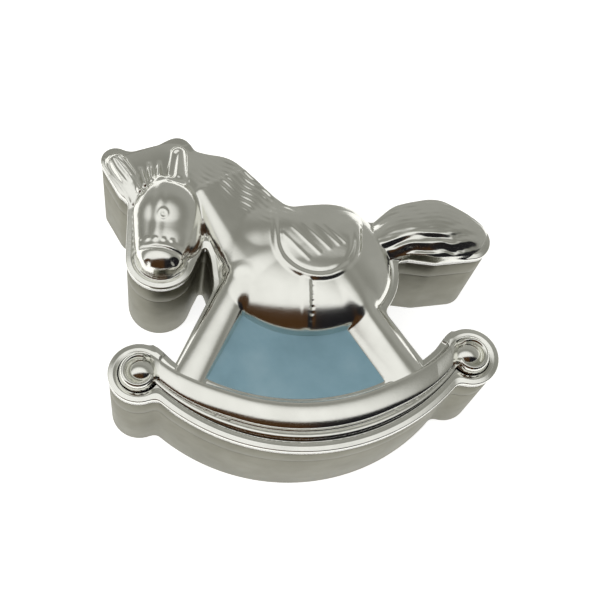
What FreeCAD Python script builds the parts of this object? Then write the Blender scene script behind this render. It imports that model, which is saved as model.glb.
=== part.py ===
"""Keepsake box in the outline of a rocking horse: a cast base, a lift-off relief lid and glued linings.

The box lies on its flat underside. +Z is up through the lid, +X runs along the rocker towards the tail
and +Y runs from the rocker to the ears. The origin is on the underside, midway between the scrolls.
"""
import FreeCAD, Part
import math
import os

from FreeCAD import Placement, Rotation, Vector

UP = Vector(0, 0, 1)

# Driving dimensions in millimetres: name, value, what it measures
SIZES = [
    ("horse_span", 64.0, "length that the places of the horse follow"),
    ("scroll_radius", 4.8, "rocker scroll, outside"),
    ("rocker_radius", 34.7, "outer curve of the rocker"),
    ("rocker_drop", 1.3, "rocker curve below the scroll centres"),
    ("rocker_depth", 8.3, "rocker band, measured up the middle"),
    ("leg_radius", 3.55, "half the width of a leg in the outline"),
    ("chest_radius", 10.2, "outline round the chest"),
    ("rump_radius", 10.9, "outline round the rump"),
    ("neck_root_radius", 8.3, "outline of the neck at the chest"),
    ("neck_top_radius", 5.3, "outline of the neck at the mane"),
    ("muzzle_radius", 5.6, "outline round the muzzle"),
    ("brow_radius", 5.9, "outline round the brow"),
    ("jaw_radius", 5.5, "outline round the jaw"),
    ("throat_radius", 1.4, "web between the jaw and the neck"),
    ("forelock_radius", 3.4, "outline round the forelock"),
    ("nape_radius", 4.3, "outline of the mane behind the far ear"),
    ("ear_root_radius", 3.5, "outline of an ear at its root"),
    ("ear_tip_radius", 2.4, "outline of an ear at its tip"),
    ("tail_root_radius", 3.5, "outline of the tail at the rump"),
    ("tail_bend_radius", 4.9, "outline of the tail at its bend"),
    ("tail_mid_radius", 5.6, "outline of the tail at its middle"),
    ("tail_tip_radius", 3.5, "outline of the tail at its tip"),
    ("base_height", 14.3, "outer wall of the base"),
    ("floor_thickness", 1.5, "floor of the base"),
    ("felt_depth", 0.8, "felt and its recess under the base"),
    ("felt_margin", 1.6, "foot left round the felt recess"),
    ("lip_height", 3.0, "locating lip above the base wall"),
    ("lip_thickness", 0.7, "locating lip"),
    ("lip_clearance", 0.1, "locating lip to the lid's skirt"),
    ("lid_wall", 1.0, "skirt of the lid"),
    ("skirt_height", 5.0, "skirt of the lid below its rim"),
    ("rim_thickness", 1.2, "rim plate of the lid"),
    ("rim_overhang", 0.15, "rim plate beyond the skirt"),
    ("glue_gap", 0.05, "glue line beside a lining"),
    ("card_thickness", 0.4, "card behind the linings"),
    ("velvet_thickness", 0.4, "velvet on the wall and the lid"),
    ("pad_thickness", 1.2, "velvet pad on the floor"),
    ("lining_drop", 0.4, "wall lining below the top of the lip"),
    ("relief_wall", 1.3, "metal over the hollow of the relief"),
    ("card_ledge", 1.0, "seat of the lid card round the hollow"),
    ("body_half_length", 12.3, "each body mound along X"),
    ("body_half_breadth", 10.5, "each body mound along Y"),
    ("body_rise", 4.65, "body relief above the rim"),
    ("withers_half_length", 6.8, "withers relief along X"),
    ("withers_half_breadth", 4.6, "withers relief along Y"),
    ("withers_rise", 4.2, "withers relief above the rim"),
    ("saddle_step", 0.5, "saddle above the body"),
    ("saddle_radius", 7.8, "round flap of the saddle"),
    ("seat_half_length", 9.4, "seat of the saddle along X"),
    ("seat_half_breadth", 5.8, "seat of the saddle along Y"),
    ("seat_rise", 4.9, "seat of the saddle above the rim"),
    ("girth_width", 2.0, "girth strap"),
    ("girth_step", 0.2, "girth strap above the body"),
    ("neck_half_length", 12.6, "neck relief along the neck"),
    ("neck_half_breadth", 6.6, "neck relief across"),
    ("neck_rise", 3.7, "neck relief above the rim"),
    ("head_half_length", 9.8, "head relief from crown to muzzle"),
    ("head_half_breadth", 5.6, "head relief across"),
    ("head_rise", 4.4, "head relief above the rim"),
    ("nose_half_length", 4.1, "muzzle relief across"),
    ("nose_half_breadth", 3.0, "muzzle relief from noseband to chin"),
    ("nose_rise", 4.1, "muzzle relief above the rim"),
    ("tufts_half_length", 3.7, "forelock relief along X"),
    ("tufts_half_breadth", 2.9, "forelock relief along Y"),
    ("tufts_rise", 1.5, "forelock relief above the rim"),
    ("ear_half_length", 5.0, "ear relief along the ear"),
    ("ear_half_breadth", 2.3, "ear relief across"),
    ("ear_rise", 2.0, "ear relief above the rim"),
    ("tail_half_length", 8.3, "tail relief along the tail"),
    ("tail_half_breadth", 5.0, "tail relief across"),
    ("tail_rise", 3.4, "tail relief above the rim"),
    ("lock_half_length", 4.8, "lock at an end of the tail, along the tail"),
    ("lock_half_breadth", 3.2, "lock at an end of the tail, across"),
    ("lock_rise", 2.5, "lock at an end of the tail, above the rim"),
    ("front_leg_half_width", 2.8, "front leg relief across"),
    ("rear_leg_half_width", 3.5, "rear leg relief across"),
    ("leg_rise", 2.1, "leg relief above the rim"),
    ("upper_bead_radius", 2.2, "upper bead of the rocker"),
    ("upper_bead_inset", 2.7, "upper bead from the rocker's upper curve"),
    ("lower_bead_radius", 0.75, "lower bead of the rocker"),
    ("lower_bead_inset", 2.85, "lower bead from the rocker's outer curve"),
    ("edge_bead_radius", 0.7, "edge bead of the rocker"),
    ("edge_bead_inset", 1.3, "edge bead from the rocker's outer curve"),
    ("scroll_bead_radius", 0.75, "ring round the scroll"),
    ("scroll_boss_radius", 2.1, "boss in the scroll"),
    ("enamel_depth", 0.7, "enamel and its recess in the rim plate"),
    ("enamel_margin", 0.4, "metal between the enamel and the rocker's upper curve"),
    ("cut_overrun", 1.0, "how far a cut runs past a face"),
]

# Places on the horse, as shares of horse_span from the origin
PLACE_SHARES = {
    "scroll": (0.425, 0.0),
    "front_leg_top": (-0.133, 0.264),
    "front_leg_foot": (-0.347, -0.121),
    "front_thigh": (-0.144, 0.250),
    "front_hoof": (-0.306, -0.024),
    "rear_leg_top": (0.118, 0.190),
    "rear_leg_foot": (0.303, -0.121),
    "rear_thigh": (0.110, 0.206),
    "rear_hoof": (0.245, -0.039),
    "chest": (-0.062, 0.257),
    "rump": (0.097, 0.261),
    "chest_swell": (-0.022, 0.262),
    "rump_swell": (0.064, 0.256),
    "withers": (-0.049, 0.361),
    "neck_root": (-0.083, 0.292),
    "neck_top": (-0.201, 0.514),
    "muzzle": (-0.357, 0.315),
    "brow": (-0.340, 0.465),
    "nose": (-0.358, 0.294),
    "face": (-0.339, 0.415),
    "jaw": (-0.328, 0.369),
    "throat": (-0.242, 0.369),
    "forelock": (-0.368, 0.553),
    "forelock_front": (-0.410, 0.576),
    "forelock_back": (-0.326, 0.599),
    "nape_top": (-0.286, 0.600),
    "nape_root": (-0.215, 0.535),
    "near_ear_root": (-0.410, 0.535),
    "near_ear_tip": (-0.462, 0.604),
    "far_ear_root": (-0.306, 0.556),
    "far_ear_tip": (-0.296, 0.632),
    "tail_root": (0.229, 0.333),
    "tail_bend": (0.306, 0.361),
    "tail_mid": (0.378, 0.360),
    "tail_tip": (0.478, 0.333),
    "saddle_flap": (0.046, 0.321),
    "saddle_back": (0.054, 0.431),
    "seat": (0.051, 0.344),
    "girth_top": (0.012, 0.250),
    "girth_end": (0.000, 0.080),
    "panel_front_top": (-0.167, 0.167),
    "panel_front_foot": (-0.292, -0.076),
    "panel_rear_foot": (0.250, -0.104),
    "panel_rear_top": (0.125, 0.139),
}
# Ends of the rocker band inside the scrolls, as shares of the scrolls' distance from the middle
BAND_END_SHARES = {"outer": 0.948, "upper": 0.900}
# Least radius worth hollowing, as a share of the wall that it would lie between
LEAST_HOLLOW_SHARE = 0.15

doc = FreeCAD.newDocument("rocking_horse_box")
sheet = doc.addObject("Spreadsheet::Sheet", "sizes")
for row, (alias, value, note) in enumerate(SIZES, start=1):
    sheet.set(f"A{row}", note)
    sheet.set(f"B{row}", str(value))
    sheet.setAlias(f"B{row}", alias)
doc.recompute()


def size(name):
    """A driving dimension, read from the sheet."""
    return float(sheet.get(name))


def place(name):
    """A named place on the horse, in millimetres."""
    along, up = PLACE_SHARES[name]
    return Vector(along * size("horse_span"), up * size("horse_span"), 0)


# Flat regions of the outline

def disc(centre, radius):
    """A round face."""
    return Part.Face(Part.Wire(Part.makeCircle(radius, centre, UP)))


def capsule(start, start_radius, end, end_radius):
    """The face round two circles and their outer tangents."""
    reach = end - start
    if reach.Length <= abs(start_radius - end_radius):
        return disc(*max((start, start_radius), (end, end_radius), key=lambda circle: circle[1]))
    along = reach / reach.Length
    across = UP.cross(along)
    lean = (start_radius - end_radius) / reach.Length
    left = along * lean + across * math.sqrt(1 - lean * lean)
    right = along * lean - across * math.sqrt(1 - lean * lean)
    start_left, start_right = start + left * start_radius, start + right * start_radius
    end_left, end_right = end + left * end_radius, end + right * end_radius
    edges = [
        Part.makeLine(start_right, end_right),
        Part.Arc(end_right, end + along * end_radius, end_left).toShape(),
        Part.makeLine(end_left, start_left),
        Part.Arc(start_left, start - along * start_radius, start_right).toShape(),
    ]
    return Part.Face(Part.Wire(edges))


def polygon(points):
    """A straight-sided face."""
    return Part.Face(Part.makePolygon(list(points) + [points[0]]))


def joined(faces):
    """One face round several that overlap."""
    if len(faces) == 1:
        return faces[0]
    return Part.Face(faces[0].fuse(faces[1:]).removeSplitter().Faces[0].OuterWire)


def chain(stops, inset):
    """Capsules through named places with named radii, drawn in by inset, without the stops too thin for it."""
    least = LEAST_HOLLOW_SHARE * max(inset, 0)
    circles = [(place(name), size(radius) - inset) for name, radius in stops]
    circles = [circle for circle in circles if circle[1] > least]
    if len(circles) == 1:
        return [disc(*circles[0])]
    return [capsule(*first, *second) for first, second in zip(circles, circles[1:])]


def rocker_centre():
    """Centre of the rocker's outer curve."""
    half_span = place("scroll").x
    return Vector(0, math.sqrt(size("rocker_radius") ** 2 - half_span**2) - size("rocker_drop"), 0)


def upper_centre():
    """Centre of the rocker's upper curve, which is its outer curve moved up by the band."""
    return rocker_centre() + Vector(0, size("rocker_depth"), 0)


def low_point(centre, radius, x):
    """The point of a curve's lower half at x."""
    return Vector(x, centre.y - math.sqrt(radius**2 - x**2), 0)


def rocker_band(inset):
    """The band between the rocker's outer curve and its upper curve, ended inside the scrolls."""
    outer, upper = size("rocker_radius") - inset, size("rocker_radius") + inset
    outer_x = BAND_END_SHARES["outer"] * place("scroll").x
    upper_x = BAND_END_SHARES["upper"] * place("scroll").x
    outer_points = [low_point(rocker_centre(), outer, x) for x in (-outer_x, 0, outer_x)]
    upper_points = [low_point(upper_centre(), upper, x) for x in (upper_x, 0, -upper_x)]
    edges = [
        Part.Arc(*outer_points).toShape(),
        Part.makeLine(outer_points[-1], upper_points[0]),
        Part.Arc(*upper_points).toShape(),
        Part.makeLine(upper_points[-1], outer_points[0]),
    ]
    return Part.Face(Part.Wire(edges))


def stand(inset):
    """The legs and what lies between them, ended below by the rocker's outer curve."""
    corners = ["front_leg_top", "front_leg_foot", "rear_leg_foot", "rear_leg_top"]
    stops = [(name, "leg_radius") for name in corners + corners[:1]]
    faces = chain(stops, inset) + [polygon([place(name) for name in corners])]
    return joined(faces).common(disc(rocker_centre(), size("rocker_radius") - inset)).Faces[0]


BODY = [("chest", "chest_radius"), ("rump", "rump_radius")]
NECK = [("neck_root", "neck_root_radius"), ("neck_top", "neck_top_radius")]
POLL = [("brow", "brow_radius"), ("neck_top", "neck_top_radius")]
HEAD = [("muzzle", "muzzle_radius"), ("brow", "brow_radius")]
TAIL = [
    ("rump", "tail_root_radius"),
    ("tail_root", "tail_root_radius"),
    ("tail_bend", "tail_bend_radius"),
    ("tail_mid", "tail_mid_radius"),
    ("tail_tip", "tail_tip_radius"),
]
NEAR_EAR = [("near_ear_root", "ear_root_radius"), ("near_ear_tip", "ear_tip_radius")]
FAR_EAR = [("far_ear_root", "ear_root_radius"), ("far_ear_tip", "ear_tip_radius")]
FORELOCK = [("forelock_front", "forelock_radius"), ("forelock_back", "forelock_radius")]
NAPE = [("nape_top", "ear_tip_radius"), ("nape_root", "nape_radius")]
JAW = [("jaw", "jaw_radius")]
THROAT = [("throat", "throat_radius")]
SOLID_PARTS = (NEAR_EAR, FAR_EAR, FORELOCK, NAPE, JAW, THROAT)


def hollow_region(inset):
    """What is hollow inside the outline: all but the rocker's arms, the scrolls and the ears."""
    chains = [face for stops in (BODY, NECK, POLL, HEAD, TAIL) for face in chain(stops, inset)]
    return joined([stand(inset)] + chains)


def whole_region(inset):
    """The whole outline, drawn in by inset."""
    scroll = place("scroll")
    scrolls = [disc(Vector(x, scroll.y, 0), size("scroll_radius") - inset) for x in (-scroll.x, scroll.x)]
    small = [face for stops in SOLID_PARTS for face in chain(stops, inset)]
    return joined([hollow_region(inset), rocker_band(inset)] + scrolls + small)


def panel_region():
    """The enamel panel: between the legs, above the rocker's upper curve."""
    corners = ["panel_front_top", "panel_front_foot", "panel_rear_foot", "panel_rear_top"]
    radius = size("rocker_radius") - size("enamel_margin")
    return polygon([place(name) for name in corners]).common(disc(upper_centre(), radius)).Faces[0]


def saddle_region():
    """The saddle flap and seat, seen from above."""
    return capsule(place("saddle_flap"), size("saddle_radius"), place("saddle_back"), size("saddle_radius"))


# Levels above the underside, as expressions of the sheet
FLOOR_TOP = "sizes.felt_depth + sizes.floor_thickness"
LIP_TOP = "sizes.base_height + sizes.lip_height"
RIM_UNDERSIDE = "sizes.base_height + sizes.skirt_height"
RIM_TOP = RIM_UNDERSIDE + " + sizes.rim_thickness"
CARD_UNDERSIDE = RIM_UNDERSIDE + " - sizes.card_thickness"


def region_object(name, face):
    """A flat region kept in the document, for extrusions to use."""
    region = doc.addObject("Part::Feature", name)
    region.Shape = face
    return region


def prism(name, region, height, level="0"):
    """A region raised by height, from level, both given as expressions."""
    solid = doc.addObject("Part::Extrusion", name)
    solid.Base = region
    solid.DirMode = "Custom"
    solid.Dir = UP
    solid.Solid = True
    solid.setExpression("LengthFwd", height)
    solid.setExpression("Placement.Base.z", level)
    return solid


def cut(name, body, tool):
    """body without tool."""
    result = doc.addObject("Part::Cut", name)
    result.Base, result.Tool = body, tool
    return result


def fuse(name, shapes):
    """Several shapes as one."""
    result = doc.addObject("Part::MultiFuse", name)
    result.Shapes = shapes
    result.Refine = False
    return result


def common(name, shapes):
    """What several shapes share."""
    result = doc.addObject("Part::MultiCommon", name)
    result.Shapes = shapes
    return result


def mound(name, spot, half_length, half_breadth, rise, along=Vector(1, 0, 0), wall="0"):
    """An ellipsoid centred on the top of the rim, its length turned along a direction, thinner by wall."""
    form = doc.addObject("Part::Ellipsoid", name)
    form.Angle1, form.Angle2, form.Angle3 = -90, 90, 360
    form.setExpression("Radius1", f"{rise} - {wall}")
    form.setExpression("Radius2", f"{half_length} - {wall}")
    form.setExpression("Radius3", f"{half_breadth} - {wall}")
    form.Placement = Placement(Vector(spot.x, spot.y, 0), Rotation(Vector(1, 0, 0), along))
    form.setExpression("Placement.Base.z", RIM_TOP)
    return form


def midpoint(first, second):
    """Halfway between two named places."""
    return (place(first) + place(second)) / 2


# Base, felt and base linings

def base_pieces():
    """The cast base with its lip, and the felt, cards and velvet glued to it."""
    lip_inset = size("lid_wall") + size("lip_clearance")
    cavity_inset = lip_inset + size("lip_thickness")
    card_inset = cavity_inset + size("glue_gap")
    velvet_inset = card_inset + size("card_thickness")
    pad_inset = velvet_inset + size("velvet_thickness") + size("glue_gap")
    wall_region = region_object("wall_region", whole_region(0))
    lip_region = region_object("lip_region", hollow_region(lip_inset))
    cavity_region = region_object("cavity_region", hollow_region(cavity_inset))
    felt_region = region_object("felt_region", whole_region(size("felt_margin")))
    card_region = region_object("card_region", hollow_region(card_inset))
    velvet_region = region_object("velvet_region", hollow_region(velvet_inset))
    clear_region = region_object("clear_region", hollow_region(velvet_inset + size("velvet_thickness")))
    pad_region = region_object("pad_region", hollow_region(pad_inset))

    block = prism("base_block", wall_region, "sizes.base_height")
    lip = prism("lip_block", lip_region, LIP_TOP)
    cavity = prism("cavity", cavity_region, f"{LIP_TOP} + sizes.cut_overrun", FLOOR_TOP)
    recess = prism("felt_recess", felt_region, "sizes.felt_depth")
    hollows = fuse("base_hollows", [cavity, recess])
    base = cut("base_casting", fuse("base_solid", [block, lip]), hollows)
    felt = prism("underside_felt", felt_region, "sizes.felt_depth")

    strip_height = f"{LIP_TOP} - sizes.lining_drop - ({FLOOR_TOP})"
    clear_height = f"{strip_height} + sizes.cut_overrun"
    card_block = prism("wall_card_block", card_region, strip_height, FLOOR_TOP)
    card_clear = prism("wall_card_clear", velvet_region, clear_height, FLOOR_TOP)
    wall_card = cut("wall_card", card_block, card_clear)
    velvet_block = prism("wall_velvet_block", velvet_region, strip_height, FLOOR_TOP)
    velvet_clear = prism("wall_velvet_clear", clear_region, clear_height, FLOOR_TOP)
    wall_velvet = cut("wall_velvet", velvet_block, velvet_clear)
    floor_card = prism("floor_card", pad_region, "sizes.card_thickness", FLOOR_TOP)
    pad_level = f"{FLOOR_TOP} + sizes.card_thickness"
    floor_velvet = prism("floor_velvet", pad_region, "sizes.pad_thickness", pad_level)
    return [base, felt, wall_card, wall_velvet, floor_card, floor_velvet]


# Relief of the lid

def horse_mounds():
    """Body, withers, neck, head, muzzle, forelock, ears and tail as rounded mounds."""
    forms = [
        mound("chest_form", place("chest_swell"), *sized("body")),
        mound("rump_form", place("rump_swell"), *sized("body")),
        mound("withers_form", place("withers"), *sized("withers")),
        mound("neck_form", midpoint("neck_root", "neck_top"), *sized("neck"), along("neck_root", "neck_top")),
        mound("head_form", place("face"), *sized("head"), along("muzzle", "brow")),
        mound("nose_form", place("nose"), *sized("nose")),
        mound("forelock_form", place("forelock"), *sized("tufts")),
        mound("tail_form", place("tail_mid"), *sized("tail")),
    ]
    for side in ("near", "far"):
        root, tip = f"{side}_ear_root", f"{side}_ear_tip"
        forms.append(mound(f"{side}_ear_form", midpoint(root, tip), *sized("ear"), along(root, tip)))
    for start, end in (("tail_root", "tail_bend"), ("tail_tip", "tail_mid")):
        forms.append(mound(f"{start}_lock", place(start), *sized("lock"), along(start, end)))
    return forms


def sized(name):
    """The three size names of a mound, as expressions."""
    return [f"sizes.{name}_{part}" for part in ("half_length", "half_breadth", "rise")]


def along(start, end):
    """The way from one named place to another."""
    return place(end) - place(start)


def stepped_body(name, step, outline):
    """The two body mounds, larger by a step, inside an outline."""
    grown = [f"{part} + sizes.{step}" for part in sized("body")]
    spots = (("chest", "chest_swell"), ("rump", "rump_swell"))
    mounds = [mound(f"{name}_on_{part}", place(spot), *grown) for part, spot in spots]
    return [common(f"{name}_{part}", [form, outline]) for (part, _), form in zip(spots, mounds)]


def tack_forms():
    """Saddle and girth strap: the body mounds grown by a step, and the seat, inside their own outlines."""
    tall = f"{RIM_TOP} + sizes.body_rise + sizes.cut_overrun"
    saddle_outline = prism("saddle_outline", region_object("saddle_region", saddle_region()), tall)
    half_width = size("girth_width") / 2
    girth_face = capsule(place("girth_top"), half_width, place("girth_end"), half_width)
    girth_outline = prism("girth_outline", region_object("girth_region", girth_face), tall)
    seat = common("seat_form", [mound("seat_mound", place("seat"), *sized("seat")), saddle_outline])
    saddle = stepped_body("saddle", "saddle_step", saddle_outline)
    return saddle + [seat] + stepped_body("girth", "girth_step", girth_outline)


def leg_form(side):
    """A half-round leg, lying from the body to the rocker."""
    start = place(f"{side}_thigh")
    reach = place(f"{side}_hoof") - start
    half_width = f"sizes.{side}_leg_half_width"
    leg = doc.addObject("Part::Cylinder", f"{side}_leg")
    leg.setExpression("Radius", half_width)
    leg.Height = reach.Length
    leg.Placement = Placement(start, Rotation(UP, reach))
    leg.setExpression("Placement.Base.z", f"{RIM_TOP} + sizes.leg_rise - {half_width}")
    return leg


def half_sweep(centre, path_radius, reach):
    """Angle from the middle of a curve to where it comes within reach of a scroll's centre, in radians."""
    way = place("scroll") - centre
    nearness = (way.Length**2 + path_radius**2 - reach**2) / (2 * way.Length * path_radius)
    return math.atan2(way.x, -way.y) - math.acos(min(nearness, 1))


def bead(name, centre, path_radius, bead_radius, path_length, reach):
    """A round bead along a curve of the rocker, ended within reach of the scrolls' centres.

    The radii are expressions, and path_length is the path's radius in millimetres.
    """
    sweep = 2 * math.degrees(half_sweep(centre, path_length, reach))
    ring = doc.addObject("Part::Torus", name)
    ring.setExpression("Radius1", path_radius)
    ring.setExpression("Radius2", bead_radius)
    ring.Angle3 = sweep
    ring.Placement = Placement(centre, Rotation(UP, -90 - sweep / 2))
    ring.setExpression("Placement.Base.z", RIM_TOP)
    return ring


def rocker_forms():
    """The rocker's three beads, with a ring and a boss in each scroll and a rounded end on the upper bead."""
    ring_reach = size("scroll_radius") - 2 * size("scroll_bead_radius")
    boss_reach = size("scroll_boss_radius")
    upper_path = size("rocker_radius") + size("upper_bead_inset")
    forms = [
        bead("upper_bead", upper_centre(), "sizes.rocker_radius + sizes.upper_bead_inset",
             "sizes.upper_bead_radius", upper_path, boss_reach),
        bead("lower_bead", rocker_centre(), "sizes.rocker_radius - sizes.lower_bead_inset",
             "sizes.lower_bead_radius", size("rocker_radius") - size("lower_bead_inset"), ring_reach),
        bead("edge_bead", rocker_centre(), "sizes.rocker_radius - sizes.edge_bead_inset",
             "sizes.edge_bead_radius", size("rocker_radius") - size("edge_bead_inset"), ring_reach),
    ]
    half_angle = half_sweep(upper_centre(), upper_path, boss_reach)
    bead_end = upper_centre() + Vector(math.sin(half_angle), -math.cos(half_angle), 0) * upper_path
    for side, sign in (("front", -1), ("rear", 1)):
        ring = doc.addObject("Part::Torus", f"{side}_scroll_ring")
        ring.setExpression("Radius1", "sizes.scroll_radius - 2 * sizes.scroll_bead_radius")
        ring.setExpression("Radius2", "sizes.scroll_bead_radius")
        boss = doc.addObject("Part::Sphere", f"{side}_scroll_boss")
        end = doc.addObject("Part::Sphere", f"{side}_bead_end")
        for ball in (boss, end):
            ball.setExpression("Radius", "sizes.scroll_boss_radius")
        for form, spot in ((ring, place("scroll")), (boss, place("scroll")), (end, bead_end)):
            form.Placement = Placement(Vector(sign * spot.x, spot.y, 0), Rotation())
            form.setExpression("Placement.Base.z", RIM_TOP)
            forms.append(form)
    return forms


def relief_hollow(ledge_region):
    """The hollow behind the body, neck, head and tail, open to the underside of the rim plate."""
    wall = "sizes.relief_wall"
    forms = [
        mound("chest_hollow", place("chest_swell"), *sized("body"), wall=wall),
        mound("rump_hollow", place("rump_swell"), *sized("body"), wall=wall),
        mound("neck_hollow", midpoint("neck_root", "neck_top"), *sized("neck"), along("neck_root", "neck_top"), wall),
        mound("head_hollow", place("face"), *sized("head"), along("muzzle", "brow"), wall),
        mound("tail_hollow", place("tail_mid"), *sized("tail"), wall=wall),
    ]
    tall = "sizes.rim_thickness + sizes.body_rise"
    reach = prism("hollow_reach", ledge_region, tall, RIM_UNDERSIDE)
    return common("relief_hollow", [fuse("hollow_forms", forms), reach])


def lid_pieces():
    """The cast lid with its relief, the enamel panel, and the card and velvet inside it."""
    card_inset = size("lid_wall") + size("lip_clearance")
    rim_region = region_object("rim_region", whole_region(-size("rim_overhang")))
    skirt_region = region_object("skirt_region", whole_region(0))
    mouth_region = region_object("mouth_region", hollow_region(size("lid_wall")))
    ledge_region = region_object("ledge_region", hollow_region(card_inset + size("card_ledge")))
    lid_card_region = region_object("lid_card_region", hollow_region(card_inset))
    enamel_region = region_object("enamel_region", panel_region())

    plate = prism("rim_plate", rim_region, "sizes.rim_thickness", RIM_UNDERSIDE)
    enamel_level = f"{RIM_TOP} - sizes.enamel_depth"
    enamel_recess = prism("enamel_recess", enamel_region, "sizes.enamel_depth", enamel_level)
    skirt_block = prism("skirt_block", skirt_region, "sizes.skirt_height", "sizes.base_height")
    mouth = prism("lid_mouth", mouth_region, "sizes.skirt_height", "sizes.base_height")

    forms = horse_mounds() + tack_forms() + rocker_forms()
    forms += [leg_form(side) for side in ("front", "rear")]
    tallest = "sizes.rim_thickness + sizes.body_rise + sizes.saddle_step + sizes.cut_overrun"
    reach = prism("relief_reach", skirt_region, tallest, RIM_UNDERSIDE)
    relief = common("relief", [forms[0], reach])
    for form in forms[1:]:
        clipped = common(f"{form.Name}_clipped", [form, reach])
        relief = fuse(f"relief_with_{form.Name}", [relief, clipped])

    shell = fuse("lid_solid", [cut("recessed_plate", plate, enamel_recess), skirt_block, relief])
    opened = fuse("lid_hollows", [mouth, relief_hollow(ledge_region)])
    lid = cut("lid_casting", shell, opened)
    enamel_block = prism("enamel_block", enamel_region, "sizes.enamel_depth", enamel_level)
    enamel = cut("enamel_panel", enamel_block, relief)
    lid_card = prism("lid_card", lid_card_region, "sizes.card_thickness", CARD_UNDERSIDE)
    velvet_level = f"{CARD_UNDERSIDE} - sizes.velvet_thickness"
    lid_velvet = prism("lid_velvet", lid_card_region, "sizes.velvet_thickness", velvet_level)
    return [lid, enamel, lid_card, lid_velvet]


def check(pieces):
    """Stops the build if an object failed or a piece has no sound shape."""
    for item in doc.Objects:
        if "Invalid" in item.State or "Error" in item.State:
            raise RuntimeError(f"{item.Name} failed: {item.State}")
    for piece in pieces:
        if piece.Shape.isNull() or not piece.Shape.isValid() or not piece.Shape.Solids:
            raise RuntimeError(f"{piece.Label} has no sound solid")


def main():
    """Builds the pieces, checks them and writes one STEP file for each."""
    pieces = base_pieces() + lid_pieces()
    doc.recompute()
    check(pieces)
    os.makedirs("parts", exist_ok=True)
    for piece in pieces:
        piece.Label = piece.Name
        piece.Shape.exportStep(f"parts/{piece.Label}.step")
        box = piece.Shape.BoundBox
        print(f"{piece.Label}: {len(piece.Shape.Solids)} solids, {piece.Shape.Volume:.1f} mm3, "
              f"z {box.ZMin:.2f} to {box.ZMax:.2f}")


main()
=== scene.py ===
"""Looks of the rocking-horse keepsake box: plated castings with a relief lid, enamel and velvet linings.

Plan lengths are in seventy-seconds of the box's 64 mm span, called units, and x, y and z follow the part's
frame. Everything turns into metres where a mesh is made.
"""
import math

import bmesh
import bpy
import numpy as np
from mathutils import Euler, Matrix, Vector


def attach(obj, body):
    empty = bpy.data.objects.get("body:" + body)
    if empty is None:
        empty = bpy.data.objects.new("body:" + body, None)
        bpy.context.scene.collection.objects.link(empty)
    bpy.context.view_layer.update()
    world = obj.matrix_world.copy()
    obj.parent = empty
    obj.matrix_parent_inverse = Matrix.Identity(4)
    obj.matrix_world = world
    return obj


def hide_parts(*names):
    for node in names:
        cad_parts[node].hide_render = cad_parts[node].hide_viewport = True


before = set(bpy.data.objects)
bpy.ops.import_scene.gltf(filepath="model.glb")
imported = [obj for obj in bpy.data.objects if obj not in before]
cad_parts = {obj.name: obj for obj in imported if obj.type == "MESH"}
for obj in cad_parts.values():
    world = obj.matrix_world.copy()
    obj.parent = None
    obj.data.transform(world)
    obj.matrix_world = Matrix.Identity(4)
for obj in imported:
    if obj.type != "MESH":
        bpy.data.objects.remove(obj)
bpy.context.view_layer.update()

UNIT = 0.064 / 72
MM = 72 / 64
LATTICE_LOW = (-38.6, -18.2)
LATTICE_HIGH = (40.4, 50.2)

# Heights above the underside
FELT_TOP = 0.8 * MM
FLOOR_TOP = 2.3 * MM
PAD_LOW = 2.7 * MM
PAD_TOP = 3.9 * MM
PARTING = 14.3 * MM
LINING_TOP = 16.9 * MM
LIP_TOP = 17.3 * MM
LID_VELVET_LOW = 18.5 * MM
LID_CARD_LOW = 18.9 * MM
RIM_LOW = 19.3 * MM
RIM_TOP = 20.5 * MM

# How far walls and linings lie inside the outline
EDGE_EASE = 0.12
MOUTH_INSET = 1.0 * MM
LIP_INSET = 1.1 * MM
LID_LINING_INSET = 1.2 * MM
RECESS_INSET = 1.6 * MM
FELT_INSET = 1.7 * MM
TRAY_INSET = 1.8 * MM
WALL_LINING_INSET = 2.25 * MM
WALL_LINING_FACE = 2.65 * MM
PAD_INSET = 2.8 * MM

# Sides of the lattice squares
RELIEF_STEP = 0.2
LINING_STEP = 0.22
WALL_STEP = 0.3

# The rocker's outer and upper curves, and its scrolls
ROCKER_RADIUS = 39.04
ROCKER_DEPTH = 9.34
ROCKER_CENTRE = (0.0, 22.78)
UPPER_CENTRE = (0.0, ROCKER_CENTRE[1] + ROCKER_DEPTH)
SCROLL_X = 30.6
SCROLL_RADIUS = 5.4

# Where the edges of mouldings are sunk into the rim
SUNK_LEVEL = RIM_TOP - 0.4


# Signed distances: negative inside, in units

def disc(x, y, centre, radius):
    """Distance to a circle."""
    return np.hypot(x - centre[0], y - centre[1]) - radius


def taper(x, y, start, start_radius, end, end_radius):
    """Distance to the shape round two circles and their outer tangents.

    A point beyond either end is measured from that end's circle, and a point beside the middle from the
    tangent. Along and across are its shares of the way between the centres.
    """
    reach = np.array(end) - np.array(start)
    square = float(reach @ reach)
    step = start_radius - end_radius
    across = np.abs((x - start[0]) * reach[1] - (y - start[1]) * reach[0]) / square
    along = ((x - start[0]) * reach[0] + (y - start[1]) * reach[1]) / square
    lean = math.sqrt(square - step * step)
    side = lean * along - step * across
    near_start = np.sqrt(square * (across**2 + along**2)) - start_radius
    near_end = np.sqrt(square * (across**2 + (along - 1) ** 2)) - end_radius
    flank = lean * across + step * along - start_radius
    return np.where(side < 0, near_start, np.where(side > lean, near_end, flank))


def half_plane(x, y, point, normal, reach):
    """Distance beyond a line that lies reach away from a point, along a unit normal."""
    return (x - point[0]) * normal[0] + (y - point[1]) * normal[1] - reach


def soft_min(first, second, blend):
    """The lower of two distances, and lower still by up to a quarter of the blend where they are close."""
    overlap = np.maximum(blend - np.abs(first - second), 0) / blend
    return np.minimum(first, second) - overlap**2 * blend / 4


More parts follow.
